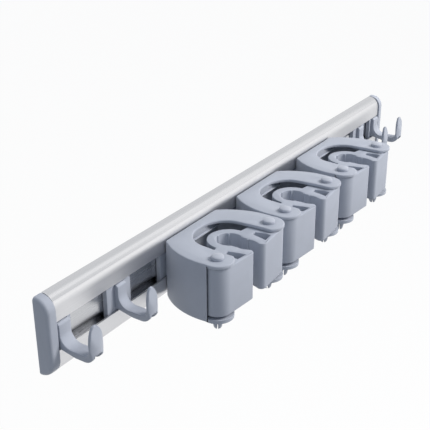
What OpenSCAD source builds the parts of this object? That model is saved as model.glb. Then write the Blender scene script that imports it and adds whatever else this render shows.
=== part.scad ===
// Wall rack for mops and brooms: an extruded rail, two end caps, four hooks and
// three clips whose soft grippers swing on pins. Hooks and clips slide along the rail.
// X runs along the rail, the wall is the plane Y = 0 and the rack stands out toward -Y.
// The origin is on the wall, at the middle of the rail's length and height.

/* [Rail] */
// Height of the rail on the wall
rail_h = 52.7; // [50:0.1:64]
// How far the rail stands out from the wall
rail_depth = 10; // [9.4:0.1:12]
// Thickness of the outer walls of the rail
rail_wall = 1.5; // [1.2:0.1:2]
// Radius of the rounded upper front edge
nose_r = 9; // [6:0.1:9]
// Radius of the rounded lower front edge
foot_r = 10; // [6:0.1:10]
// Height of the channel in which the hooks and clips slide
channel_h = 28.5; // [26:0.1:31]
// Height of the middle of the channel
channel_z = 0.35; // [-1:0.05:1]
// How far the upper lip covers the channel
upper_lip_h = 5; // [3.5:0.1:6]
// How far the lower lip covers the channel
lower_lip_h = 4.4; // [3.5:0.1:6]
// Thickness of both lips
lip_t = 1.4; // [1:0.1:1.8]
// Thickness of the webs above and below the channel
web_t = 1.4; // [1:0.1:2]
// Thickness of the wall behind the channel
back_t = 1.6; // [1.2:0.1:2]
// How far the raised land behind the sliders stands out from the wall
land_depth = 4.5; // [4:0.1:5]
// How far the land stays below the upper lip's edge
land_top_gap = 0.6; // [0.3:0.1:1.5]
// How far the land stays above the lower lip's edge
land_bottom_gap = 2; // [0.5:0.1:3]

/* [Wall screws] */
// Distance of each screw hole from its end of the rail
screw_inset = 51.5; // [30:0.5:70]
// Radius of the clearance hole for a 4 mm screw
screw_hole_r = 2.3; // [2.1:0.05:2.6]
// Radius of the countersink at the face of the land
screw_sink_r = 4.4; // [3.6:0.1:5]
// Length of the straight part of the screw hole
screw_land = 2.3; // [1.5:0.1:3]

/* [End caps] */
// Thickness of each cap beyond the end of the rail
cap_t = 7.5; // [5:0.1:10]
// How far a cap stands proud of the rail above and below
cap_over = 0; // [0:0.1:1]
// How far a cap stands proud of the front of the rail
cap_front = 1; // [0.5:0.1:2]
// Radius of the lower front corner of a cap
cap_foot_r = 11.5; // [8:0.1:14]
// Radius of the outer edges of a cap
cap_edge_r = 2.4; // [1:0.1:3]
// Length of the prongs inside the rail
prong_len = 12; // [6:0.5:20]
// Clearance round the prongs
prong_gap = 0.1; // [0.05:0.05:0.3]

/* [Spacing along the rail] */
// Clearance between an end cap and the hook beside it
end_gap = 0.3; // [0.2:0.1:2]
// Free rail between the first and second hook
room_hooks_left = 28.3; // [10:0.1:60]
// Free rail between the second hook and the first clip
room_left = 21.1; // [12:0.1:60]
// Gap between the first and second clip
room_clips_left = 1; // [0.5:0.1:30]
// Gap between the second and third clip
room_clips_right = 5.3; // [0.5:0.1:30]
// Free rail between the third clip and the third hook
room_right = 39.8; // [12:0.1:60]
// Free rail between the third and fourth hook
room_hooks_right = 8.3; // [2:0.1:60]
// Clearance between a slider and the channel
slide_gap = 0.3; // [0.2:0.05:0.4]

/* [Hooks] */
// Width of the sliding plate of an end hook
end_plate_w = 16.5; // [14:0.1:24]
// Width of the blade of an end hook
end_blade_w = 11; // [8:0.1:14]
// Widest part of the tongue of an end hook
end_tongue_w = 12; // [9:0.1:14]
// Width of the sliding plate of an inner hook
inner_plate_w = 22.8; // [16:0.1:30]
// Width of the blade of an inner hook
inner_blade_w = 8.2; // [6:0.1:12]
// Widest part of the tongue of an inner hook
inner_tongue_w = 10; // [7:0.1:14]
// How far the blade stands out from its plate
blade_rise = 2.9; // [2:0.1:4]
// Height of the top of the blade
blade_top = 8.6; // [6:0.1:9]
// Bevel along the top of the blade
blade_bevel = 1.2; // [0.4:0.1:2]
// Height of the underside where the arm leaves the blade
arm_root_z = -8; // [-8.8:0.1:-6]
// How far the hook stands out from the wall
hook_reach = 36.2; // [32:0.1:46]
// Lowest point of the hook below the middle of the rail
hook_drop = 10.6; // [9.4:0.1:13]
// Thickness of the arm at the bowl
arm_t = 4.1; // [3.5:0.1:5.5]
// Radius of the curve from the blade to the arm
root_r = 8; // [5:0.1:9]
// Radius inside the bowl
bowl_r = 6; // [4:0.1:7]
// Radius outside the bowl
bowl_outer_r = 11; // [9:0.1:12]
// Thickness of the tongue at its root
tongue_t = 4.7; // [3.5:0.1:5.5]
// Thickness of the tongue at its tip
tip_t = 1.7; // [1.2:0.1:3]
// Height of the tip of the tongue
tip_z = 12.5; // [10:0.1:24]
// How far the inner face of the tongue leans out
tongue_lean = 2.2; // [0:0.1:3]
// Height of the widest part of the tongue
leaf_z = 3; // [0:0.1:6]
// Bevel at the tip of the tongue
tip_bevel = 1.2; // [0.5:0.1:3]
// Wall left round the cored underside
core_wall = 1.5; // [1.2:0.1:2.5]
// Thickness left above the cored underside
core_roof = 1.8; // [1.2:0.1:3]

/* [Clips] */
// Distance between the two pins of a clip
pin_spacing = 62.4; // [58:0.1:74]
// Distance of the pins from the wall
pin_reach = 53; // [50:0.1:60]
// Radius of the rounded ears that hold the pins
lug_r = 10.8; // [10.4:0.1:12]
// How much smaller the barrel of a jaw is than the ear
lug_overhang = 0.8; // [0.5:0.1:2]
// Gap between the rail and the back of a clip
body_gap = 0.8; // [0.5:0.1:2]
// Radius of the curved sides of a clip
side_r = 50.4; // [48:0.1:60]
// Distance from the wall to the widest part of the sides
side_reach = 45; // [43:0.1:48]
// Height of the top of a clip
clip_top = 18.6; // [17:0.1:22]
// Height of the underside of a clip
clip_bottom = -22.6; // [-25:0.1:-20]
// Thickness of the upper plate
top_plate_t = 2.2; // [1.8:0.1:4]
// Thickness of the lower plate
bottom_plate_t = 2.6; // [1.5:0.1:3]
// Thickness of the side and back walls
clip_wall = 2.5; // [1.8:0.1:3]
// Distance from the wall to the front edge of the side walls
side_end_reach = 50.5; // [47:0.1:51]
// Clearance between the side walls and the barrels of the jaws
barrel_gap = 0.4; // [0.3:0.1:0.8]
// Distance from the wall to the middle of the round opening
opening_reach = 41.5; // [39:0.1:42.5]
// How much wider the round part of the opening is than its straight front
opening_bulge = 0.9; // [0.3:0.1:1.4]
// Half width of the sliding plate behind a clip
slider_half = 32; // [28:0.1:38]
// Half width of the neck between the plate and the clip
neck_half = 26; // [18:0.1:27.5]
// Height of the upper face of the ledge inside the back wall
ledge_z = 6.5; // [-5:0.1:10]
// How far the ledge stands out from the back wall
ledge_w = 1.2; // [0.8:0.1:3]

/* [Gripper] */
// Gap between the upper plate and the gripper
grip_top_gap = 0.4; // [0.3:0.1:1.5]
// Gap between the gripper and the lower plate
grip_bottom_gap = 2; // [0.4:0.1:2.5]
// Distance from the wall to the middle of the round grip
grip_reach = 41.5; // [41:0.1:42.5]
// Radius inside the round grip
grip_r = 9.1; // [8.5:0.1:10.2]
// Thickness of the band round the grip
band_t = 5.9; // [4:0.1:6.2]
// Slit between the two halves of the band
band_slit = 0.4; // [0.3:0.1:1]
// Clearance where a jaw turns against its band
knuckle_gap = 0.3; // [0.2:0.05:0.5]
// How far the legs of the band reach forward past the middle of the grip
leg_len = 2.1; // [1.5:0.1:3]
// Radius of the small ribs inside the grip
rib_r = 0.6; // [0.3:0.1:1]
// Angle from the back of the grip to the side ribs
rib_angle = 55; // [35:1:70]
// Half width of the throat between the jaws
throat_half = 7; // [6.4:0.1:7.6]
// Half width between the tips of the jaws
nose_half = 5.2; // [4:0.1:6]
// Radius of the tip of a jaw
nose_r_tip = 3.5; // [1.5:0.1:4]
// How far the tips of the jaws stand past the barrels
nose_proud = 1.8; // [1:0.1:3]
// Wall between the throat and the pocket in a jaw, at the front
pocket_front_wall = 5.2; // [4:0.1:6.5]
// Wall between the throat and the pocket in a jaw, at the back
pocket_back_wall = 7.9; // [7:0.1:9]
// Wall between the pocket and the front face of a jaw
pocket_face_wall = 2.7; // [2:0.1:5]
// Distance from the middle of the grip forward to the pocket
pocket_start = 8.5; // [7:0.1:10]
// How far the pocket stays clear of the barrel round the pin
pocket_pin_wall = 0.8; // [0.4:0.1:2]
// Step where the throat widens into the grip
shoulder = 1.2; // [0.8:0.1:1.6]
// Room behind the band for a jaw that is open to its limit
jaw_relief = 3.4; // [2.8:0.1:4]

/* [Pins] */
// Radius of the shaft of a pin
pin_r = 3; // [2.5:0.1:3.5]
// Radial clearance of the pin in its ears
pin_gap = 0.1; // [0.05:0.01:0.2]
// Radial clearance of the pin in a jaw
bore_gap = 0.08; // [0.03:0.01:0.1]
// Radius of the head of a pin
head_r = 4.75; // [4.6:0.05:6]
// Height of the head of a pin
head_h = 2.2; // [1.5:0.1:3]
// Height of the straight rim of the head
head_rim = 1.5; // [0.3:0.1:2]
// Radius of the barbs under a clip
barb_r = 3.45; // [3.3:0.05:4]
// Length of the barbs under a clip
barb_len = 9; // [3:0.1:10]
// Width of the split between the barbs
barb_split = 1.3; // [0.8:0.1:2]

/* [Hidden] */
$fn = 72;

plastic = [0.69, 0.71, 0.76];
plastic_dark = [0.62, 0.64, 0.69];
aluminium = [0.88, 0.89, 0.91];
pin_plastic = [0.73, 0.75, 0.79];
eps = 0.01;

channel_top = channel_z + channel_h / 2;
channel_bottom = channel_z - channel_h / 2;
mouth_top = channel_top - upper_lip_h;
mouth_bottom = channel_bottom + lower_lip_h;
land_top = mouth_top - land_top_gap;
land_bottom = mouth_bottom + land_bottom_gap;
screw_z = (land_top + land_bottom) / 2;

plate_back = land_depth + slide_gap;
plate_front = rail_depth - lip_t - slide_gap;
plate_top = channel_top - slide_gap;
plate_bottom = channel_bottom + slide_gap;

pin_x = pin_spacing / 2;
clip_half = pin_x + lug_r;
barrel_r = lug_r - lug_overhang;
opening_r = pin_x - lug_r;
body_back = rail_depth + body_gap;
grip_top = clip_top - top_plate_t - grip_top_gap;
grip_bottom = clip_bottom + bottom_plate_t + grip_bottom_gap;

band_outer_r = grip_r + band_t;
knuckle_x = grip_r + band_t / 2;
knuckle_r = pin_reach - grip_reach - leg_len;
knuckle_y = 0.85 * knuckle_r - pin_reach;
nose_reach = pin_reach + barrel_r + nose_proud;
nose_x = nose_half + nose_r_tip;

blade_front = plate_front + blade_rise;
arm_top = arm_t - hook_drop;
root_z = arm_top + root_r;
root_a = blade_front + root_r;
bowl_a = hook_reach - tongue_t - bowl_r;
bowl_z = arm_top + bowl_r;
bowl_outer_a = hook_reach - bowl_outer_r;
bowl_outer_z = bowl_outer_r - hook_drop;
tongue_a = hook_reach - tongue_t;
tip_a = tongue_a + tongue_lean;
arm_split_a = (root_a + bowl_a) / 2;

rail_len = 2 * end_gap + 2 * end_plate_w + 2 * inner_plate_w + 6 * clip_half
    + room_hooks_left + room_left + room_clips_left
    + room_clips_right + room_right + room_hooks_right;
hook_1_x = end_gap + end_plate_w / 2 - rail_len / 2;
hook_2_x = hook_1_x + end_plate_w / 2 + room_hooks_left + inner_plate_w / 2;
clip_1_x = hook_2_x + inner_plate_w / 2 + room_left + clip_half;
clip_2_x = clip_1_x + 2 * clip_half + room_clips_left;
clip_3_x = clip_2_x + 2 * clip_half + room_clips_right;
hook_3_x = clip_3_x + clip_half + room_right + inner_plate_w / 2;
hook_4_x = hook_3_x + inner_plate_w / 2 + room_hooks_right + end_plate_w / 2;

// Turns a section drawn as (distance from the wall, height) and draws it out along X
module along_rail(width) {
    rotate([90, 0, -90])
        linear_extrude(height = width, center = true)
            children();
}

// Turns a front view drawn as (X, height) and draws it out from the wall
module out_from_wall(reach) {
    rotate([90, 0, 0])
        linear_extrude(height = reach)
            children();
}

// Flat back, rounded upper and lower front corners
module rail_outline(inset = 0, depth = rail_depth, over = 0, foot = foot_r) {
    half = rail_h / 2 + over - inset;
    front = depth - inset;
    upper = nose_r - inset;
    lower = foot - inset;
    intersection() {
        union() {
            translate([0, -half + lower])
                square([front, 2 * half - upper - lower]);
            translate([0, half - upper - eps])
                square([front - upper + eps, upper + eps]);
            translate([front - upper, half - upper])
                circle(r = upper);
            translate([0, -half])
                square([max(front - lower, 0) + eps, lower + eps]);
            translate([front - lower, lower - half])
                circle(r = lower);
        }
        translate([0, -half])
            square([front, 2 * half]);
    }
}

// The closed space inside the rail above the channel
module nose_chamber(gap = 0) {
    intersection() {
        rail_outline(inset = rail_wall + gap);
        translate([rail_wall + gap, channel_top + web_t + gap])
            square([rail_depth, rail_h]);
    }
}

// The closed space inside the rail below the channel
module foot_chamber(gap = 0) {
    intersection() {
        rail_outline(inset = rail_wall + gap);
        translate([rail_wall + gap, channel_bottom - web_t - gap - rail_h])
            square([rail_depth, rail_h]);
    }
}

module rail_section() {
    difference() {
        rail_outline();
        nose_chamber();
        foot_chamber();
        difference() {
            translate([back_t, channel_bottom])
                square([rail_depth - lip_t - back_t, channel_h]);
            translate([0, land_bottom])
                square([land_depth, land_top - land_bottom]);
        }
        translate([rail_depth - lip_t - eps, mouth_bottom])
            square([lip_t + 1, mouth_top - mouth_bottom]);
    }
}

module screw_hole() {
    rotate([90, 0, 0]) {
        translate([0, 0, -1])
            cylinder(r = screw_hole_r, h = land_depth + 1);
        translate([0, 0, screw_land])
            cylinder(r1 = screw_hole_r, r2 = screw_sink_r, h = land_depth - screw_land + eps);
    }
}

module rail() {
    color(aluminium)
        difference() {
            along_rail(rail_len)
                rail_section();
            for (side = [-1, 1])
                translate([side * (rail_len / 2 - screw_inset), 0, screw_z])
                    screw_hole();
        }
}

// Cap for the right end; the left one is its mirror image
module end_cap() {
    steps = 6;
    slice = 0.02;
    color(plastic) {
        hull() {
            translate([slice / 2, 0, 0])
                along_rail(slice)
                    rail_outline(depth = rail_depth + cap_front, over = cap_over, foot = cap_foot_r);
            for (i = [0:steps]) {
                turn = 90 * i / steps;
                translate([cap_t - cap_edge_r * (1 - sin(turn)) - slice / 2, 0, 0])
                    along_rail(slice)
                        rail_outline(
                            inset = cap_edge_r * (1 - cos(turn)),
                            depth = rail_depth + cap_front, over = cap_over, foot = cap_foot_r);
            }
        }
        translate([-prong_len / 2 + eps, 0, 0])
            along_rail(prong_len)
                nose_chamber(prong_gap);
        translate([-prong_len / 2 + eps, 0, 0])
            along_rail(prong_len)
                foot_chamber(prong_gap);
    }
}

// Space inside the hook, from the blade round to the tongue
module hook_hollow(grow = 0) {
    translate([root_a, root_z])
        circle(r = root_r + grow);
    translate([root_a, arm_top - grow])
        square([bowl_a - root_a, root_r + grow]);
    translate([bowl_a, bowl_z])
        circle(r = bowl_r + grow);
    polygon([
        [blade_front - grow, root_z], [blade_front - grow, 2 * tip_z],
        [tip_a + tongue_lean, 2 * tip_z], [tip_a + grow, tip_z],
        [tongue_a + grow, bowl_z], [bowl_a, arm_top]
    ]);
}

// Section of the blade, arm, bowl and tongue
module hook_section() {
    difference() {
        union() {
            polygon([
                [plate_front - eps, arm_root_z], [bowl_outer_a, -hook_drop],
                [bowl_outer_a, root_z], [blade_front, root_z],
                [blade_front, blade_top - blade_bevel],
                [blade_front - blade_bevel, blade_top], [plate_front - eps, blade_top]
            ]);
            intersection() {
                translate([bowl_outer_a, bowl_outer_z])
                    circle(r = bowl_outer_r);
                translate([bowl_outer_a - eps, -hook_drop - 1])
                    square([bowl_outer_r + 1, bowl_outer_r + 1 + eps]);
            }
            polygon([
                [bowl_outer_a, bowl_outer_z - 1], [hook_reach, bowl_outer_z],
                [tip_a + tip_t, tip_z - tip_bevel], [tip_a, tip_z], [bowl_outer_a, tip_z]
            ]);
        }
        hook_hollow();
    }
}

// Part of the section that is cored out from below
module hook_core_section() {
    difference() {
        intersection() {
            hook_section();
            translate([blade_front + core_wall, -hook_drop - 1])
                square([hook_reach, hook_drop - tongue_t + 1]);
        }
        hook_hollow(core_roof);
    }
}

function leaf_half(z, blade_w, tongue_w) =
    z > leaf_z
        ? tongue_w / 2 * pow(1 - pow((z - leaf_z) / (tip_z + eps - leaf_z), 2.2), 0.6)
        : blade_w / 2 + (tongue_w - blade_w) / 4 * (1 - cos(180 * (z + tongue_t) / (leaf_z + tongue_t)));

// Front view of the tongue: a leaf with a rounded point
module leaf_outline(blade_w, tongue_w) {
    steps = 16;
    span = tip_z + tongue_t;
    right = [for (i = [0:steps])
        let (z = i * span / steps - tongue_t)
        [leaf_half(z, blade_w, tongue_w), z]];
    left = [for (i = [steps:-1:0]) [-right[i][0], right[i][1]]];
    polygon(concat([[blade_w / 2, -hook_drop - 1]], right, left, [[-blade_w / 2, -hook_drop - 1]]));
}

module hook(plate_w, plate_shift, blade_w, tongue_w) {
    crown_r = 0.9 * tongue_w;
    color(plastic)
        difference() {
            union() {
                translate([plate_shift, 0, 0])
                    along_rail(plate_w)
                        translate([plate_back, plate_bottom])
                            square([plate_front - plate_back, plate_top - plate_bottom]);
                along_rail(blade_w)
                    intersection() {
                        hook_section();
                        translate([0, -hook_drop - 1])
                            square([arm_split_a + eps, 3 * tip_z]);
                    }
                intersection() {
                    along_rail(tongue_w + 2)
                        intersection() {
                            hook_section();
                            translate([arm_split_a, -hook_drop - 1])
                                square([hook_reach, 3 * tip_z]);
                        }
                    out_from_wall(hook_reach + 1)
                        leaf_outline(blade_w, tongue_w);
                    union() {
                        translate([0, crown_r - hook_reach, -hook_drop - 1])
                            cylinder(r = crown_r, h = 3 * tip_z);
                        translate([-tongue_w, crown_r - hook_reach, -hook_drop - 1])
                            cube([2 * tongue_w, hook_reach, 3 * tip_z]);
                    }
                }
            }
            along_rail(blade_w - 2 * core_wall)
                hook_core_section();
        }
}

// End hook with its blade on the left side of its plate
module end_hook() {
    translate([-end_plate_w / 2 + end_blade_w / 2, 0, 0])
        hook(end_plate_w, (end_plate_w - end_blade_w) / 2, end_blade_w, end_tongue_w);
}

module inner_hook() {
    hook(inner_plate_w, 0, inner_blade_w, inner_tongue_w);
}

// Plan of a clip without its ears
module clip_plan(inset = 0) {
    intersection() {
        translate([side_r - clip_half, -side_reach])
            circle(r = side_r - inset, $fn = 144);
        translate([clip_half - side_r, -side_reach])
            circle(r = side_r - inset, $fn = 144);
        translate([-clip_half - 1, -pin_reach - 2])
            square([2 * clip_half + 2, pin_reach + 2 - body_back - inset]);
    }
}

// The open middle of the upper and lower plates
module opening_cut() {
    translate([0, -opening_reach, clip_bottom - 1])
        cylinder(r = opening_r + opening_bulge, h = clip_top - clip_bottom + 2);
    translate([-opening_r - 0.1, -pin_reach - 2 * lug_r, clip_bottom - 1])
        cube([
            2 * opening_r + 0.2, pin_reach + 2 * lug_r - opening_reach,
            clip_top - clip_bottom + 2
        ]);
}

// The space between the plates, open at the front
module cavity_cut() {
    h = clip_top - top_plate_t - clip_bottom - bottom_plate_t;
    translate([0, 0, clip_bottom + bottom_plate_t]) {
        linear_extrude(height = h)
            clip_plan(clip_wall);
        translate([-clip_half - 1, -pin_reach - 2 * lug_r, 0])
            cube([2 * clip_half + 2, pin_reach + 2 * lug_r - side_end_reach, h]);
        for (side = [-1, 1])
            translate([side * pin_x, -pin_reach, 0])
                cylinder(r = barrel_r + barrel_gap, h = h);
    }
}

module clip_body() {
    color(plastic) {
        difference() {
            union() {
                translate([0, 0, clip_bottom])
                    linear_extrude(height = clip_top - clip_bottom)
                        clip_plan();
                for (side = [-1, 1])
                    translate([side * pin_x, -pin_reach, clip_bottom])
                        cylinder(r = lug_r, h = clip_top - clip_bottom);
            }
            cavity_cut();
            opening_cut();
            for (side = [-1, 1])
                translate([side * pin_x, -pin_reach, clip_bottom - 1])
                    cylinder(r = pin_r + pin_gap, h = clip_top - clip_bottom + 2);
        }
        along_rail(2 * slider_half)
            translate([plate_back, plate_bottom])
                square([plate_front - plate_back, plate_top - plate_bottom]);
        along_rail(2 * neck_half)
            translate([plate_front - eps, mouth_bottom + slide_gap])
                square([
                    body_back - plate_front + clip_wall / 2,
                    mouth_top - mouth_bottom - 2 * slide_gap
                ]);
        along_rail(2 * neck_half)
            translate([body_back + clip_wall / 2, ledge_z - ledge_w])
                square([ledge_w + clip_wall / 2, ledge_w]);
    }
}

// Plan of the lobe of the left jaw, from the barrel to the throat
module lobe_plan() {
    back_x = band_outer_r + jaw_relief;
    shoulder_x = throat_half + shoulder;
    polygon([
        [-pin_x, barrel_r - pin_reach - 0.5], [-back_x, -grip_reach - 0.1],
        [1.4 - back_x, knuckle_y], [-shoulder_x, knuckle_y],
        [-shoulder_x, knuckle_y - shoulder], [-throat_half, knuckle_y - 2 * shoulder],
        [-throat_half, -pin_reach - 1.5], [0.6 - throat_half, -pin_reach - 5],
        [-nose_half - 0.05, nose_r_tip - nose_reach + 0.2], [-nose_x, 0.1 - nose_reach],
        [-pin_x, 0.1 - pin_reach - barrel_r]
    ]);
}

// Plan of the hollow moulded through the lobe
module pocket_plan() {
    back_y = -max(grip_reach + pocket_start, pin_reach - 3);
    front_y = pocket_face_wall - nose_reach;
    pin_side = barrel_r + pocket_pin_wall - pin_x;
    polygon([
        [-throat_half - pocket_back_wall, back_y], [pin_side + 2, back_y],
        [pin_side, -3.9 - pin_reach], [pin_side + 0.3, front_y + 1],
        [-throat_half - pocket_front_wall, front_y]
    ]);
}

// Left half of the band in plan
module band_plan() {
    difference() {
        intersection() {
            translate([0, -grip_reach])
                union() {
                    difference() {
                        circle(r = band_outer_r);
                        circle(r = grip_r);
                    }
                    for (turn = [0, rib_angle])
                        rotate(turn)
                            translate([0, grip_r])
                                circle(r = rib_r);
                }
            translate([-band_outer_r - 1, -grip_reach - 2 * leg_len])
                square([band_outer_r + 1 - band_slit / 2, band_outer_r + 3 * leg_len]);
        }
        translate([-knuckle_x, -pin_reach])
            circle(r = knuckle_r + knuckle_gap);
    }
}

// Left jaw: a barrel round the pin and a lobe that turns against the band
module jaw() {
    h = grip_top - grip_bottom;
    color(plastic)
        translate([0, 0, grip_bottom])
            difference() {
                union() {
                    linear_extrude(height = h)
                        lobe_plan();
                    translate([-pin_x, -pin_reach, 0])
                        cylinder(r = barrel_r, h = h);
                    translate([-nose_x, nose_r_tip - nose_reach, 0])
                        cylinder(r = nose_r_tip, h = h);
                    translate([-throat_half - shoulder, knuckle_y - shoulder, 0])
                        cylinder(r = rib_r, h = h);
                    intersection() {
                        translate([-knuckle_x, -pin_reach, 0])
                            cylinder(r = knuckle_r, h = h);
                        translate([-knuckle_x - knuckle_r, knuckle_y - 0.5, 0])
                            cube([knuckle_x + knuckle_r - throat_half - shoulder, knuckle_r, h]);
                    }
                }
                translate([0, 0, -1])
                    linear_extrude(height = h + 2)
                        pocket_plan();
                translate([-pin_x, -pin_reach, -1])
                    cylinder(r = pin_r + bore_gap, h = h + 2);
            }
}

module band() {
    color(plastic_dark)
        translate([0, 0, grip_bottom])
            linear_extrude(height = grip_top - grip_bottom)
                band_plan();
}

// Domed snap pin, with a split barb below the lower ear
module pin() {
    dome_h = head_h - head_rim;
    dome_r = (head_r * head_r + dome_h * dome_h) / (2 * dome_h);
    barb_step = 0.6;
    color(pin_plastic)
        translate([-pin_x, -pin_reach, 0])
            difference() {
                union() {
                    intersection() {
                        translate([0, 0, clip_top])
                            cylinder(r = head_r, h = head_h);
                        translate([0, 0, clip_top + head_h - dome_r])
                            sphere(r = dome_r);
                    }
                    translate([0, 0, clip_bottom - barb_len / 2])
                        cylinder(r = pin_r, h = clip_top - clip_bottom + barb_len / 2 + head_rim / 2);
                    translate([0, 0, clip_bottom - barb_len])
                        cylinder(r1 = pin_r - barb_step, r2 = barb_r, h = barb_len - barb_step);
                    translate([0, 0, clip_bottom - barb_step - eps])
                        cylinder(r = barb_r, h = barb_step);
                }
                translate([-barb_split / 2, -2 * barb_r, clip_bottom - barb_len - 1])
                    cube([barb_split, 4 * barb_r, barb_len + 1 + bottom_plate_t]);
            }
}

// Draws a left-hand piece of the clip at x, or its mirror image on the right
module at_clip(x, side) {
    translate([x, 0, 0])
        mirror([side > 0 ? 1 : 0, 0, 0])
            children();
}

rail();
translate([-rail_len / 2, 0, 0]) mirror([1, 0, 0]) end_cap();  // end_cap_left
translate([rail_len / 2, 0, 0]) end_cap();  // end_cap_right
translate([hook_1_x, 0, 0]) end_hook();  // hook_1
translate([hook_2_x, 0, 0]) inner_hook();  // hook_2
translate([hook_3_x, 0, 0]) inner_hook();  // hook_3
translate([hook_4_x, 0, 0]) mirror([1, 0, 0]) end_hook();  // hook_4
at_clip(clip_1_x, -1) clip_body();  // clip_1_body
at_clip(clip_1_x, -1) pin();  // clip_1_pin_left
at_clip(clip_1_x, 1) pin();  // clip_1_pin_right
at_clip(clip_1_x, -1) jaw();  // clip_1_jaw_left
at_clip(clip_1_x, 1) jaw();  // clip_1_jaw_right
at_clip(clip_1_x, -1) band();  // clip_1_band_left
at_clip(clip_1_x, 1) band();  // clip_1_band_right
at_clip(clip_2_x, -1) clip_body();  // clip_2_body
at_clip(clip_2_x, -1) pin();  // clip_2_pin_left
at_clip(clip_2_x, 1) pin();  // clip_2_pin_right
at_clip(clip_2_x, -1) jaw();  // clip_2_jaw_left
at_clip(clip_2_x, 1) jaw();  // clip_2_jaw_right
at_clip(clip_2_x, -1) band();  // clip_2_band_left
at_clip(clip_2_x, 1) band();  // clip_2_band_right
at_clip(clip_3_x, -1) clip_body();  // clip_3_body
at_clip(clip_3_x, -1) pin();  // clip_3_pin_left
at_clip(clip_3_x, 1) pin();  // clip_3_pin_right
at_clip(clip_3_x, -1) jaw();  // clip_3_jaw_left
at_clip(clip_3_x, 1) jaw();  // clip_3_jaw_right
at_clip(clip_3_x, -1) band();  // clip_3_band_left
at_clip(clip_3_x, 1) band();  // clip_3_band_right
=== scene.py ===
import math

import bmesh
import bpy
from mathutils import Matrix, Vector


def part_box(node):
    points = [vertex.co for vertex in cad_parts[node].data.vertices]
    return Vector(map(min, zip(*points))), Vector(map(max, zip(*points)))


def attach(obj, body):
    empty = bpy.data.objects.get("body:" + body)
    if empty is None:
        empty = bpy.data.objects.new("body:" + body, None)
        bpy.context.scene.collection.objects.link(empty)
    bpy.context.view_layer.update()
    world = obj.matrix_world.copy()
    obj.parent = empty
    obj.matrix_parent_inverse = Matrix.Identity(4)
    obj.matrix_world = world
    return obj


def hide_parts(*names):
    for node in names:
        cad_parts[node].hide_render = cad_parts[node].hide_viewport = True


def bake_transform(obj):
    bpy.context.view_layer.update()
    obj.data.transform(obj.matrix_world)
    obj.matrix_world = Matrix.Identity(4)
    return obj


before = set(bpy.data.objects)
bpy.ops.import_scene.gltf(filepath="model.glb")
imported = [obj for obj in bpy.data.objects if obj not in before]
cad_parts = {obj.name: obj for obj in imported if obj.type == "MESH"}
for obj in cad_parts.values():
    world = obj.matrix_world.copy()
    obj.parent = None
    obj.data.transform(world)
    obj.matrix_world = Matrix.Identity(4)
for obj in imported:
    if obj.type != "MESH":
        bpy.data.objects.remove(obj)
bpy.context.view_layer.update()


# ---- Rail
# One aluminium extrusion, cut to length, with a satin anodised skin that is smoother behind the
# lips of the channel, where its colour is also darkened as painted shade. Its section is drawn out
# along X. Two closed spaces run right through it, above and below the channel, and two screw
# holes are sunk into the raised land.

DRAWING_PLANES = {
    "section": (Vector((0, -1, 0)), Vector((0, 0, 1))),
    "plan": (Vector((1, 0, 0)), Vector((0, 1, 0))),
    "front": (Vector((1, 0, 0)), Vector((0, 0, 1))),
}


def draw(name, plane, corners, closed=True, arc_step=6):
    """Draws an outline, in millimetres, with the extrude and spin tools, and leaves it in edit
    mode. A corner is (u, v), or (u, v, cu, cv) where an arc round (cu, cv) ends. "section" is
    drawn as (distance from the wall, height), "plan" as (X, Y) and "front" as (X, height)."""
    across, up = DRAWING_PLANES[plane]
    shortest_side = 0.002
    bpy.ops.object.select_all(action="DESELECT")
    bpy.ops.mesh.primitive_plane_add(size=0.001)
    piece = bpy.context.object
    piece.name = name
    bpy.ops.object.mode_set(mode="EDIT")
    bpy.ops.mesh.select_all(action="SELECT")
    bpy.ops.mesh.merge(type="CENTER")
    u, v = corners[0]
    bpy.ops.transform.translate(value=(across * u + up * v) / 1000)
    for corner in corners[1:] + ([corners[0]] if closed else []):
        if len(corner) == 4:
            cu, cv = corner[2:]
            end = math.atan2(corner[1] - cv, corner[0] - cu)
            turn = (end - math.atan2(v - cv, u - cu) + math.pi) % (2 * math.pi) - math.pi
            bpy.ops.mesh.spin(
                steps=max(2, round(math.degrees(abs(turn)) / arc_step)), angle=-turn,
                center=(across * cu + up * cv) / 1000, axis=across.cross(up))
            radius = math.hypot(u - cu, v - cv)
            u, v = cu + radius * math.cos(end), cv + radius * math.sin(end)
        else:
            move = across * (corner[0] - u) + up * (corner[1] - v)
            if move.length > shortest_side:
                bpy.ops.mesh.extrude_region_move(TRANSFORM_OT_translate={"value": move / 1000})
            u, v = corner
    bpy.ops.mesh.select_all(action="SELECT")
    bpy.ops.mesh.remove_doubles(threshold=0.000003)
    if closed:
        bpy.ops.mesh.edge_face_add()
    return piece


def draw_out(piece, start, move):
    """Draws the filled outline out into a solid, from a start and by a move in millimetres."""
    bpy.ops.transform.translate(value=Vector(start) / 1000)
    bpy.ops.mesh.extrude_region_move(TRANSFORM_OT_translate={"value": Vector(move) / 1000})
    bpy.ops.mesh.select_all(action="SELECT")
    bpy.ops.mesh.normals_make_consistent(inside=False)
    bpy.ops.object.mode_set(mode="OBJECT")
    return piece


def bar(name, corners, start, length):
    """A solid with a given section, drawn out along X."""
    return draw_out(draw(name, "section", corners), (start, 0, 0), (length, 0, 0))


def pick(piece):
    """Selects one piece alone and makes it the active one."""
    bpy.ops.object.select_all(action="DESELECT")
    piece.select_set(True)
    bpy.context.view_layer.objects.active = piece


def carve(piece, tool):
    """Takes the tool's shape out of the piece and throws the tool away."""
    pick(piece)
    cut = piece.modifiers.new("cut", "BOOLEAN")
    cut.operation = "DIFFERENCE"
    cut.solver = "EXACT"
    cut.object = tool
    bpy.ops.object.modifier_apply(modifier=cut.name)
    bpy.data.objects.remove(tool)


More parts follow.
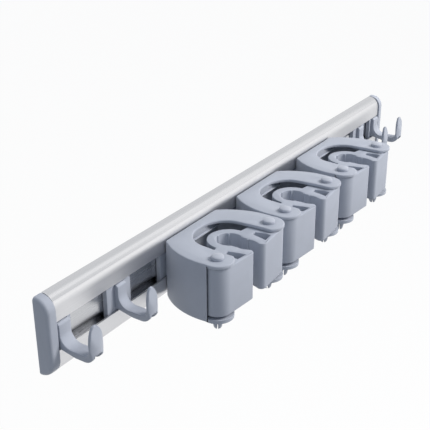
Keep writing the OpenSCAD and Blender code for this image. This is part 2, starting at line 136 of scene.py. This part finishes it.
def drill(piece, middle, length, radius, mouth=None, tilt=0):
    """Sinks a round hole that runs along Z before its tilt about X, all in millimetres and
    degrees. With a mouth, the hole widens to that radius at its far end."""
    bpy.ops.object.select_all(action="DESELECT")
    bpy.ops.mesh.primitive_cone_add(
        vertices=48, radius1=radius / 1000, radius2=(mouth or radius) / 1000,
        depth=length / 1000, location=[c / 1000 for c in middle],
        rotation=(math.radians(tilt), 0, 0))
    carve(piece, bpy.context.object)


def round_edges(piece, width, segments=3, sharp=35, keep=None):
    """Rounds the sharp edges by a width in millimetres, apart from those that keep() holds back."""
    pick(piece)
    bpy.ops.object.mode_set(mode="EDIT")
    bpy.ops.mesh.select_mode(type="EDGE")
    bpy.ops.mesh.select_all(action="SELECT")
    bpy.ops.mesh.remove_doubles(threshold=0.00001)
    bpy.ops.mesh.select_all(action="DESELECT")
    bpy.ops.mesh.edges_select_sharp(sharpness=math.radians(sharp))
    if keep:
        shape = bmesh.from_edit_mesh(piece.data)
        for edge in shape.edges:
            if edge.select and keep(*(vert.co * 1000 for vert in edge.verts)):
                edge.select_set(False)
        bmesh.update_edit_mesh(piece.data)
    bpy.ops.mesh.bevel(offset=width / 1000, segments=segments, affect="EDGES", clamp_overlap=False)
    bpy.ops.mesh.select_mode(type="VERT")
    bpy.ops.object.mode_set(mode="OBJECT")
    bpy.ops.object.shade_smooth_by_angle(angle=math.radians(38))


def set_sockets(tree, node, sockets):
    """Gives each named socket a value, or a link from another node's output."""
    for socket, source in sockets.items():
        if isinstance(source, bpy.types.NodeSocket):
            tree.links.new(source, node.inputs[socket])
        else:
            node.inputs[socket].default_value = source


def add_node(tree, kind, sockets, **settings):
    """Adds a shader node with its settings and sockets, and returns its outputs."""
    node = tree.nodes.new(kind)
    for setting, value in settings.items():
        setattr(node, setting, value)
    set_sockets(tree, node, sockets)
    return node.outputs


def two_tone(tree, pattern, dark, light):
    """A colour that passes from dark to light in the middle of a pattern's range."""
    ramp = tree.nodes.new("ShaderNodeValToRGB")
    for element, position, colour in zip(ramp.color_ramp.elements, (0.3, 0.7), (dark, light)):
        element.position = position
        element.color = (*colour, 1)
    tree.links.new(pattern, ramp.inputs["Fac"])
    return ramp.outputs["Color"]


def finish_in(piece, finish, slot, body, *nodes):
    """Gives a piece its finish, its body and the CAD nodes it stands for. The slot argument is not
    used.
    """
    piece.data.materials.clear()
    piece.data.materials.append(finish)
    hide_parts(*nodes)
    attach(piece, body)


rail_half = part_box("rail")[1].x * 1000
rail_top, rail_depth, rail_wall_t = 26.35, 10, 1.5
nose_off, nose_z, nose_r = 1, 17.35, 9
foot_z, foot_r = -16.35, 10
nose_space_z, foot_space_z, space_overshoot = 16, -15.3, 5
lip_back, channel_back, land_face = 8.6, 1.6, 4.5


def nose_space(gap=0.0):
    """Corners of the closed space above the channel, smaller all round by the gap."""
    wall = rail_wall_t + gap
    radius = nose_r - wall
    top = nose_z + math.sqrt(radius ** 2 - (wall - nose_off) ** 2)
    return [(wall, nose_space_z + gap), (rail_depth - wall, nose_space_z + gap),
            (rail_depth - wall, nose_z), (wall, top, nose_off, nose_z)]


def foot_space(gap=0.0):
    """Corners of the closed space below the channel, smaller all round by the gap."""
    wall = rail_wall_t + gap
    radius = foot_r - wall
    return [(wall, foot_space_z - gap), (wall, foot_z - math.sqrt(radius ** 2 - wall ** 2)),
            (radius, foot_z, 0, foot_z), (radius, foot_space_z - gap)]


rail = bar("rail_extrusion", [
    (0, rail_top), (nose_off, rail_top), (rail_depth, nose_z, nose_off, nose_z),
    (rail_depth, 9.6), (lip_back, 9.6), (lip_back, 14.6), (channel_back, 14.6),
    (channel_back, 9.0), (land_face, 9.0), (land_face, -7.5), (channel_back, -7.5),
    (channel_back, -13.9), (lip_back, -13.9), (lip_back, -9.5), (rail_depth, -9.5),
    (rail_depth, foot_z), (0, foot_z - foot_r, 0, foot_z)], -rail_half, 2 * rail_half)
for space in (nose_space(), foot_space()):
    carve(rail, bar("core", space, -rail_half - space_overshoot,
                    2 * (rail_half + space_overshoot)))
screw_z, screw_r, screw_length = 0.75, 2.3, 12
sink_mouth_r, sink_length, sink_y = 4.69, 2.5, -3.55
for screw_x in (-166, 166):
    drill(rail, (screw_x, 0, screw_z), screw_length, screw_r, tilt=90)
    drill(rail, (screw_x, sink_y, screw_z), sink_length, screw_r, sink_mouth_r, tilt=90)
round_edges(rail, 0.25, segments=2)
flatten = rail.modifiers.new("flatten", "WEIGHTED_NORMAL")
flatten.keep_sharp = True
bpy.ops.object.modifier_apply(modifier=flatten.name)

anodised = bpy.data.materials.new("satin_anodised_aluminium")
anodised.use_nodes = True
tree = anodised.node_tree
place = add_node(tree, "ShaderNodeTexCoord", {})["Object"]
stretched = add_node(
    tree, "ShaderNodeMapping", {"Vector": place, "Scale": (7, 1900, 1900)})["Vector"]
streaks = add_node(
    tree, "ShaderNodeTexNoise", {"Vector": stretched, "Scale": 1.0, "Detail": 5.0})["Fac"]
tone = two_tone(tree, streaks, (0.71, 0.715, 0.735), (0.75, 0.755, 0.775))
across_lip = {
    "Value": add_node(tree, "ShaderNodeSeparateXYZ", {"Vector": place})["Y"],
    "From Min": -0.0088, "From Max": -0.0082}
# Painted shade: behind the lips the colour turns much darker, standing in for the shade inside the
# channel.
painted_channel_shade = add_node(tree, "ShaderNodeMapRange", {**across_lip, "To Max": 0.45})["Result"]
tone_with_painted_shade = add_node(
    tree, "ShaderNodeMix", {"A": tone, "B": (0.36, 0.375, 0.4, 1), "Factor": painted_channel_shade},
    data_type="RGBA")["Result"]
in_channel = add_node(
    tree, "ShaderNodeMapRange", {**across_lip, "To Min": 0.4, "To Max": 0.22})["Result"]
rough = add_node(
    tree, "ShaderNodeMath", {0: streaks, 1: 0.08, 2: in_channel}, operation="MULTIPLY_ADD")
grain = add_node(
    tree, "ShaderNodeBump", {"Strength": 0.12, "Distance": 0.00002, "Height": streaks})
set_sockets(tree, tree.nodes["Principled BSDF"], {
    "Metallic": 1.0, "Base Color": tone_with_painted_shade, "Roughness": rough["Value"],
    "Normal": grain["Normal"]})
finish_in(rail, anodised, "rail", "rack", "rail")


# ---- End caps
# Each cap is an injection moulding in grey ABS, pushed into the rail's two closed spaces by its
# prongs. It stands a little proud of the rail's front, with a fine shadow gap where the two meet,
# and its outer edge is well rounded.

def moulded(name, colour, rough=(0.4, 0.5), grain_depth=0.00002):
    """A moulded plastic: faint flow marks in the colour, a fine eroded grain and uneven gloss."""
    finish = bpy.data.materials.new(name)
    finish.use_nodes = True
    tree = finish.node_tree
    place = add_node(tree, "ShaderNodeTexCoord", {})["Object"]
    flow = add_node(tree, "ShaderNodeTexNoise", {
        "Vector": place, "Scale": 55, "Detail": 4.0, "Distortion": 0.6})["Fac"]
    tint = two_tone(tree, flow, [c * 0.965 for c in colour], [c * 1.035 for c in colour])
    gloss = add_node(tree, "ShaderNodeMapRange", {
        "Value": flow, "To Min": rough[0], "To Max": rough[1]})
    eroded = add_node(tree, "ShaderNodeTexNoise", {"Vector": place, "Scale": 2600, "Detail": 3.0})
    bump = add_node(tree, "ShaderNodeBump", {
        "Strength": 0.25, "Distance": grain_depth, "Height": eroded["Fac"]})
    set_sockets(tree, tree.nodes["Principled BSDF"], {
        "Base Color": tint, "Roughness": gloss["Result"], "Normal": bump["Normal"]})
    return finish


def another(piece, name, along=0.0, mirrored=False):
    """A copy with its own mesh, turned into its mirror image if asked, and moved along the rail."""
    pick(piece)
    bpy.ops.object.duplicate()
    twin = bpy.context.object
    twin.name = name
    bpy.ops.object.mode_set(mode="EDIT")
    bpy.ops.mesh.select_all(action="SELECT")
    if mirrored:
        bpy.ops.transform.resize(value=(-1, 1, 1), center_override=(0, 0, 0))
        bpy.ops.mesh.normals_make_consistent(inside=False)
    bpy.ops.transform.translate(value=(along / 1000, 0, 0))
    bpy.ops.object.mode_set(mode="OBJECT")
    return twin


def put_together(piece, *others):
    """Joins the others into the piece."""
    pick(piece)
    for other in others:
        other.select_set(True)
    bpy.ops.object.join()


cap_t, cap_depth, cap_nose_off = 7.5, 11, 2
cap_foot_off, cap_foot_z, cap_foot_r = -0.5, -14.85, 11.5
seam_w, seam_depth, overlap = 0.6, 1.9, 0.1
prong_in, prong_length, prong_gap = 12, 12.5, 0.1


def cap_section(inset=0.0):
    """Corners of the cap's outline, smaller all round by the inset, apart from its flat back."""
    front = cap_depth - inset
    foot = cap_foot_z - math.sqrt((cap_foot_r - inset) ** 2 - cap_foot_off ** 2)
    return [(0, rail_top - inset), (cap_nose_off, rail_top - inset),
            (front, nose_z, cap_nose_off, nose_z), (front, cap_foot_z),
            (0, foot, cap_foot_off, cap_foot_z)]


def off_outer_rim(a, b):
    """Whether a cap's edge lies away from its outer end, or on its flat back."""
    return min(a.x, b.x) < rail_half + cap_t - 0.1 or -a.y - b.y < 0.1


cap = bar("end_cap_right_moulding", cap_section(), rail_half + seam_w, cap_t - seam_w)
round_edges(cap, 2.4, segments=7, keep=off_outer_rim)
round_edges(cap, 0.3, segments=2, sharp=60)
prongs = [bar("prong", space, rail_half - prong_in, prong_length)
          for space in (nose_space(prong_gap), foot_space(prong_gap))]
seam = bar("seam", cap_section(seam_depth), rail_half, seam_w + overlap)
for prong in prongs:
    round_edges(prong, 0.4, segments=2)
put_together(cap, seam, *prongs)
grey_plastic = moulded("grey_moulded_plastic", (0.402, 0.434, 0.503))
cap_left = another(cap, "end_cap_left_moulding", mirrored=True)
finish_in(cap, grey_plastic, "plastic", "rack", "end_cap_right")
finish_in(cap_left, grey_plastic, "plastic", "rack", "end_cap_left")


# ---- Hooks
# A hook is one moulding: a sliding plate behind the lips of the channel, a blade in front of it,
# and an arm that turns up into a leaf-shaped tongue. It is cored out from below, so that its
# walls are even. The two hooks at the ends are wider and have their blade on the outer side.

hook_split, hook_reach, hook_wall_t = 22.35, 36.2, 2
hook_root_z, leaf_z, leaf_top = -8.0, 0.0, 13.5
leaf_cuts_z = (-8, -6.6, -5, -3.2, -1.5, 0, 1.5, 3, 5, 7, 8.6, 9.8, 10.7, 11.4, 12, 12.4, 12.8,
               13.05)
leaf_cuts_across = (-0.85, -0.6, -0.3, 0, 0.3, 0.6, 0.85)
sliding_plate = [(4.8, 14.3), (8.3, 14.3), (8.3, -13.6), (4.8, -13.6)]


def leaf_half(z, blade_w, tongue_w):
    """Half the tongue's width at a height: it swells from the blade's and closes in a round tip."""
    if z > leaf_z:
        return tongue_w / 2 * (1 - ((z - leaf_z) / (leaf_top - leaf_z)) ** 2.2) ** 0.6
    rise = (z - hook_root_z) / (leaf_z - hook_root_z)
    return blade_w / 2 + (tongue_w - blade_w) / 4 * (1 - math.cos(math.pi * rise))


def mould_hook(name, plate_w, plate_shift, blade_w, tongue_w):
    """A hook at the middle of the rail, with its plate shifted along it, all in millimetres."""
    hook = bar(name, [
        (8.2, 8.6), (10, 8.6), (11.2, 7.4), (11.2, 1.5), (19.2, -6.5, 19.2, 1.5), (27.5, -6.5),
        (33.5, -0.5, 27.5, -0.5), (32.62, 12.3), (33.5, 13.2, 33.5, 12.32),
        (34.38, 12.2, 33.5, 12.32), (hook_reach, 0.4), (hook_reach, -3),
        (28.6, -10.6, 28.6, -3), (22, -10.6), (8.2, -8)], -blade_w / 2, blade_w)
    bpy.ops.object.mode_set(mode="EDIT")
    bpy.ops.mesh.select_all(action="SELECT")
    bpy.ops.mesh.bisect(plane_co=(0, -hook_split / 1000, 0), plane_no=(0, 1, 0))
    shape = bmesh.from_edit_mesh(hook.data)
    hair = 1e-6
    front_y = -hook_split / 1000 - hair

    def cut_front(place, normal):
        """Cuts the faces in front of the split along a plane."""
        bpy.ops.mesh.select_all(action="DESELECT")
        for face in shape.faces:
            if face.calc_center_median().y < front_y:
                face.select_set(True)
        bpy.ops.mesh.bisect(plane_co=place, plane_no=normal)

    for z in leaf_cuts_z:
        cut_front((0, 0, z / 1000), (0, 0, 1))
    for part in leaf_cuts_across:
        cut_front((part * blade_w / 2000, 0, 0), (1, 0, 0))
    front = [v for v in shape.verts
             if v.co.y < front_y and v.co.z * 1000 > hook_root_z + 0.01]
    for height in sorted({round(v.co.z, 6) for v in front}):
        bpy.ops.mesh.select_all(action="DESELECT")
        for v in front:
            v.select_set(abs(v.co.z - height) < hair)
        bpy.ops.transform.resize(
            value=(leaf_half(height * 1000, blade_w, tongue_w) / (blade_w / 2), 1, 1),
            center_override=(0, 0, 0))
    crown_r = 0.9 * tongue_w
    for v in front:
        setback = crown_r - math.sqrt(crown_r ** 2 - (v.co.x * 1000) ** 2)
        too_far = -v.co.y * 1000 - (hook_reach - setback)
        if too_far > 0.005:
            bpy.ops.mesh.select_all(action="DESELECT")
            v.select_set(True)
            bpy.ops.transform.translate(value=(0, too_far / 1000, 0))
    bpy.ops.mesh.select_all(action="SELECT")
    bpy.ops.mesh.normals_make_consistent(inside=False)
    bpy.ops.object.mode_set(mode="OBJECT")
    core_w = blade_w - 2 * hook_wall_t
    carve(hook, bar("core", [
        (12.7, -12), (12.7, -5.83), (19.2, -8.3, 19.2, 1.5), (27.5, -8.3),
        (33.85, -5.03, 27.5, -0.5), (37, -5.03), (37, -12)], -core_w / 2, core_w))
    round_edges(hook, 0.45, sharp=40)
    plate = bar("plate", sliding_plate, plate_shift - plate_w / 2, plate_w)
    round_edges(plate, 0.35, segments=2)
    put_together(hook, plate)
    return hook


end_hook_x, inner_hook_x = 212.4, (-161.0, 181.0)
end_hook = mould_hook("hook_right_moulding", 12.8, -1.6, 9.6, 11.8)
finish_in(another(end_hook, "hook_1_moulding", -end_hook_x, mirrored=True),
          grey_plastic, "plastic", "hook_1", "hook_1")
finish_in(another(end_hook, "hook_4_moulding", end_hook_x),
          grey_plastic, "plastic", "hook_4", "hook_4")
bpy.data.objects.remove(end_hook)
inner_hook = mould_hook("hook_inner_moulding", 22.8, 0, 8.2, 10)
for number, hook_x in zip((2, 3), inner_hook_x):
    finish_in(another(inner_hook, f"hook_{number}_moulding", hook_x),
              grey_plastic, "plastic", f"hook_{number}", f"hook_{number}")
bpy.data.objects.remove(inner_hook)


# ---- Clip bodies
# A clip body is one moulding: two plates with an ear at each side, joined by curved side walls
# and a back wall, with a ledge below the upper plate's opening. It is drawn in plan and cored out
# from the front. Behind it, a plate and a neck slide in the rail.

pin_x, pin_y, ear_r, ear_inner_r = 31.2, -53.0, 10.8, 10.4
ear_centre, side_centre, side_r = (-pin_x, pin_y), (8.4, -45.0), 50.4
back_y, back_inner_y, side_wall_t, wall_end_y = -10.8, -13.3, 2.5, -52
clip_top, clip_bottom, upper_plate_t, lower_plate_t = 18.6, -22.6, 2.2, 2.6
pin_hole_r, hole_length = 3.1, 60


def slab(name, corners, low, high, arc_step=6):
    """A solid with a given plan, drawn out from one height to another."""
    return draw_out(draw(name, "plan", corners, arc_step=arc_step), (0, 0, low),
                    (0, 0, high - low))


def crossing(c1, r1, c2, r2):
    """Where two circles cross, on the side toward the wall."""
    gap = Vector(c2) - Vector(c1)
    along = (r1 ** 2 - r2 ** 2 + gap.length_squared) / (2 * gap.length)
    off = math.sqrt(r1 ** 2 - along ** 2)
    sideways = Vector((gap.y, -gap.x)).normalized()
    return tuple(Vector(c1) + gap.normalized() * along + sideways * off)


def back_corners(y, wall_r, round_ear_r):
    """The corners along the back and round the left side wall, as far as the ear."""
    x = side_centre[0] - math.sqrt(wall_r ** 2 - (y - side_centre[1]) ** 2)
    meet = crossing(side_centre, wall_r, ear_centre, round_ear_r)
    return [(0, y), (x, y), (*meet, *side_centre)]


def both_sides(left):
    """Adds the mirror image to a row of corners that goes round the left half, back to front."""
    right = []
    for here, after in zip(left, left[1:] + [(0,)]):
        arc = (-after[2], after[3]) if len(after) == 4 else ()
        right.append((-here[0], here[1]) + arc)
    return left + [corner for corner in reversed(right)
                   if abs(corner[0]) > 0.001 or len(corner) == 4]


clip_body = slab("clip_body_moulding", both_sides(back_corners(back_y, side_r, ear_r) + [
    (-pin_x - ear_r + 0.8, pin_y - 4.08, *ear_centre), (-pin_x, pin_y - ear_r, *ear_centre),
    (-23.42, -60.48, *ear_centre), (-22.3, -57.71, -26.3, -57.71), (-22.3, -50),
    (-21.2, -36.7), (-2.7, -18.2, -2.7, -36.7), (0, -18.2)]), clip_bottom, clip_top, arc_step=4)
wall_end_x = -pin_x - math.sqrt(ear_inner_r ** 2 - (wall_end_y - pin_y) ** 2)
hollow = both_sides(back_corners(back_inner_y, side_r - side_wall_t, ear_inner_r) + [
    (wall_end_x, wall_end_y, *ear_centre), (-44, wall_end_y), (-44, -75)])
carve(clip_body, slab("hollow", hollow, clip_bottom + lower_plate_t, clip_top - upper_plate_t,
                      arc_step=4))
for side in (-1, 1):
    drill(clip_body, (side * pin_x, pin_y, 0), hole_length, pin_hole_r)
round_edges(clip_body, 0.9, segments=4, keep=lambda a, b: min(a.z, b.z) < clip_top - 0.05)
round_edges(clip_body, 0.16, segments=2, sharp=60)
neck = [(8.2, 9.3), (12, 9.3), (12, -9.2), (8.2, -9.2)]
ledge = [(12, 17), (17.9, 17), (17.9, 12.2), (12, 12.2)]
ledge_foot = [(12, 12.3), (19, 12.3), (19, 11.2), (12, 11.2)]
blocks = []
for half, corners in ((32, sliding_plate), (26, neck), (22, ledge), (22, ledge_foot)):
    blocks.append(bar("block", corners, -half, 2 * half))
    round_edges(blocks[-1], 0.35, segments=2)
put_together(clip_body, *blocks)
clip_x = [sum(corner.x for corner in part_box(f"clip_{number}_body")) * 500 for number in (1, 2, 3)]
for number, x in enumerate(clip_x, 1):
    finish_in(another(clip_body, f"clip_{number}_body_moulding", x),
              grey_plastic, "plastic", f"clip_{number}", f"clip_{number}_body")
bpy.data.objects.remove(clip_body)


# ---- Pins
# Each ear pair holds a turned-looking moulded pin: a slightly domed head, a round shaft, and a
# long tapered barb below the lower ear, split so that it can be pressed through and snap open.

pin_r, head_r, barb_r, pin_foot, pin_play = 3, 4.2, 3.45, -31.6, 0.02
split_half, split_foot_half, split_top, split_foot = 0.2, 0.4, -20, -33
split_reach, split_turn = 8, 60
pin = draw("pin_moulding", "front", [
    (0, 21.4), (3.9, 20.7, 0, 10.19), (head_r, 20.3), (head_r, clip_top + pin_play),
    (pin_r, clip_top + pin_play), (pin_r, clip_bottom - pin_play),
    (barb_r, clip_bottom - pin_play), (barb_r, -27.2), (2.7, -30.6), (2, pin_foot),
    (0, pin_foot)], closed=False, arc_step=3)
bpy.ops.mesh.spin(steps=48, angle=2 * math.pi, center=(0, 0, 0), axis=(0, 0, 1))
bpy.ops.mesh.select_all(action="SELECT")
bpy.ops.mesh.remove_doubles(threshold=0.000005)
bpy.ops.mesh.normals_make_consistent(inside=False)
bpy.ops.object.mode_set(mode="OBJECT")
split = draw("split", "front", [
    (-split_half, split_top), (split_half, split_top),
    (split_foot_half, split_foot), (-split_foot_half, split_foot)])
draw_out(split, (0, -split_reach, 0), (0, 2 * split_reach, 0))
bpy.ops.object.mode_set(mode="EDIT")
bpy.ops.transform.rotate(
    value=math.radians(split_turn), orient_axis="Z", center_override=(0, 0, 0))
bpy.ops.object.mode_set(mode="OBJECT")
carve(pin, split)
round_edges(pin, 0.18, segments=2, sharp=50)
pin_plastic = moulded("pin_plastic", (0.43, 0.46, 0.53), rough=(0.3, 0.4))
bpy.ops.object.mode_set(mode="EDIT")
bpy.ops.mesh.select_all(action="SELECT")
bpy.ops.transform.translate(value=(0, pin_y / 1000, 0))
bpy.ops.object.mode_set(mode="OBJECT")
for number, x in enumerate(clip_x, 1):
    for side, at in (("left", x - pin_x), ("right", x + pin_x)):
        finish_in(another(pin, f"clip_{number}_pin_{side}_moulding", at),
                  pin_plastic, "pin", f"clip_{number}", f"clip_{number}_pin_{side}")
bpy.data.objects.remove(pin)


# ---- Grippers
# A gripper is one soft moulding: two jaws on the pins, each with a pocket that runs right through,
# and a round, ribbed band, drawn here at rest. Each half passes smoothly from its jaw to its
# half of the band, and a bridge on the left half fills the slot that opens between the two.

grip_y, grip_r, band_r, grip_low, grip_high = -41.5, 9.1, 15.0, -18.0, 16.0
jaw_r, jaw_hole_r, rib_r, rib_inset, bridge_inset = 10, 3.08, 0.7, 0.25, 0.4


def on_grip(radius, degrees):
    """A place on a circle round the middle of the grip."""
    angle = math.radians(degrees)
    return radius * math.cos(angle), grip_y + radius * math.sin(angle)


gripper = slab("gripper_left_moulding", [
    (0, grip_y + band_r), (*on_grip(band_r, 178), 0, grip_y), (-18.4, -41.6),
    (-pin_x, pin_y + jaw_r), (-pin_x - jaw_r, pin_y, *ear_centre),
    (-pin_x, pin_y - jaw_r, *ear_centre), (-8.7, -64.8), (-5.2, -61.3, -8.7, -61.3),
    (-6.4, -58), (-7, -56), (-7, -47.4), (-8.2, -46.2), on_grip(grip_r, 201.8),
    (*on_grip(grip_r, 93.8), 0, grip_y), (0, grip_y + grip_r - 0.6, 0, grip_y + grip_r)],
    grip_low, grip_high, arc_step=5)
carve(gripper, slab("pocket", [
    (-14.9, -50), (-18.4, -50), (-20.4, -56.9), (-20.1, -61.1), (-12.2, -62.1)], -30, 30))
drill(gripper, (-pin_x, pin_y, 0), hole_length, jaw_hole_r)
round_edges(gripper, 0.5, keep=lambda a, b: max(abs(a.x), abs(b.x)) < 0.05)
ribs = []
for rib_x, rib_y in (on_grip(grip_r, 145), (-8.2, -46.2), (-7, -51.5)):
    bpy.ops.object.select_all(action="DESELECT")
    bpy.ops.mesh.primitive_cylinder_add(
        vertices=20, radius=rib_r / 1000, depth=(grip_high - grip_low - 2 * rib_inset) / 1000,
        location=(rib_x / 1000, rib_y / 1000, (grip_high + grip_low) / 2000))
    bpy.ops.object.transform_apply(location=True, rotation=True, scale=True)
    ribs.append(bpy.context.object)
    round_edges(ribs[-1], 0.25, segments=2)
put_together(gripper, *ribs)
bridge = slab("bridge", [(-1.5, -27), (2.9, -27.1), (2.9, -32.1), (-1.5, -32)],
              grip_low + bridge_inset, grip_high - bridge_inset)
soft_grey = moulded("soft_grey_gripper", (0.395, 0.427, 0.497), rough=(0.5, 0.62),
                    grain_depth=0.00004)
for number, x in enumerate(clip_x, 1):
    for side, turn in (("left", -1), ("right", 1)):
        half = another(gripper, f"clip_{number}_gripper_{side}", x, mirrored=turn > 0)
        if side == "left":
            put_together(half, another(bridge, "bridge_copy", x))
        half.data.materials.clear()
        half.data.materials.append(soft_grey)
        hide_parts(f"clip_{number}_jaw_{side}", f"clip_{number}_band_{side}")
        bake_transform(half)
bpy.data.objects.remove(gripper)
bpy.data.objects.remove(bridge)


# ---- Studio
# The rack is shown as in a catalogue: held in the air over a pale floor, in soft light from the
# front right and above, with a white background. The camera looks along the rail from its left.

def looked_at(tree):
    """1 for rays from the camera, straight or by way of a reflection or a clear piece, else 0."""
    rays = add_node(tree, "ShaderNodeLightPath", {})
    seen = rays["Is Camera Ray"]
    for way in ("Is Glossy Ray", "Is Transmission Ray"):
        seen = add_node(tree, "ShaderNodeMath", {0: seen, 1: rays[way]}, operation="MAXIMUM")[0]
    return seen


floor_size, floor_z = 60, -0.8
bpy.ops.object.select_all(action="DESELECT")
bpy.ops.mesh.primitive_plane_add(size=floor_size, location=(0, 0, floor_z))
bpy.ops.object.transform_apply(location=True, rotation=True, scale=True)
floor = bpy.context.object
floor.name = "studio_floor"
paper = bpy.data.materials.new("white_paper_floor")
paper.use_nodes = True
tree = paper.node_tree
tree.nodes.remove(tree.nodes["Principled BSDF"])
matt = add_node(tree, "ShaderNodeBsdfDiffuse", {"Color": (0.5, 0.5, 0.5, 1)})[0]
bright = add_node(tree, "ShaderNodeEmission", {"Color": (1, 1, 1, 1), "Strength": 1.05})[0]
share = add_node(tree, "ShaderNodeMath", {0: looked_at(tree), 1: 0.9}, operation="MULTIPLY")[0]
blend = add_node(tree, "ShaderNodeMixShader", {"Fac": share, 1: matt, 2: bright})[0]
set_sockets(tree, tree.nodes["Material Output"], {"Surface": blend})
floor.data.materials.append(paper)

world = bpy.data.worlds.new("studio")
bpy.context.scene.world = world
world.use_nodes = True
tree = world.node_tree
tree.nodes.clear()
fill = add_node(
    tree, "ShaderNodeBackground", {"Color": (0.84, 0.92, 1.04, 1), "Strength": 0.47})[0]
white = add_node(tree, "ShaderNodeBackground", {"Color": (1, 1, 1, 1)})[0]
blend = add_node(tree, "ShaderNodeMixShader", {"Fac": looked_at(tree), 1: fill, 2: white})[0]
add_node(tree, "ShaderNodeOutputWorld", {"Surface": blend})

lamp_way, lamp_distance = Vector((0.49, -0.62, 0.61)).normalized(), 1.7
for name, size, energy, in_gloss in (
        ("key_lamp", 0.8, 32, False), ("sheen_panel", 2.4, 5.5, True)):
    bpy.ops.object.light_add(type="AREA", location=lamp_way * lamp_distance)
    lamp = bpy.context.object
    lamp.name = name
    lamp.rotation_euler = lamp_way.to_track_quat("Z", "Y").to_euler()
    lamp.data.shape = "DISK"
    lamp.data.size = size
    lamp.data.energy = energy
    lamp.data.color = (1, 0.955, 0.905)
    lamp.visible_glossy = in_gloss
    lamp.visible_diffuse = not in_gloss

camera_place = (-0.5171, -0.3205, 0.2748)
turn, tilt, roll = math.radians(-56.02), math.radians(25.19), math.radians(-0.32)
focal_px, picture_px, sensor_mm = 873.7, 430, 36
back = Vector((math.sin(turn) * math.cos(tilt), -math.cos(turn) * math.cos(tilt), math.sin(tilt)))
level = (-back).cross(Vector((0, 0, 1))).normalized()
upright = level.cross(-back)
right = level * math.cos(roll) + upright * math.sin(roll)
upward = upright * math.cos(roll) - level * math.sin(roll)
bpy.ops.object.camera_add()
camera = bpy.context.object
camera.name = "camera"
camera.matrix_world = Matrix.Translation(camera_place) @ Matrix(
    (right, upward, back)).transposed().to_4x4()
camera.data.sensor_width = sensor_mm
camera.data.lens = focal_px / picture_px * sensor_mm
bpy.context.scene.camera = camera
bpy.context.scene.view_settings.view_transform = "Standard"
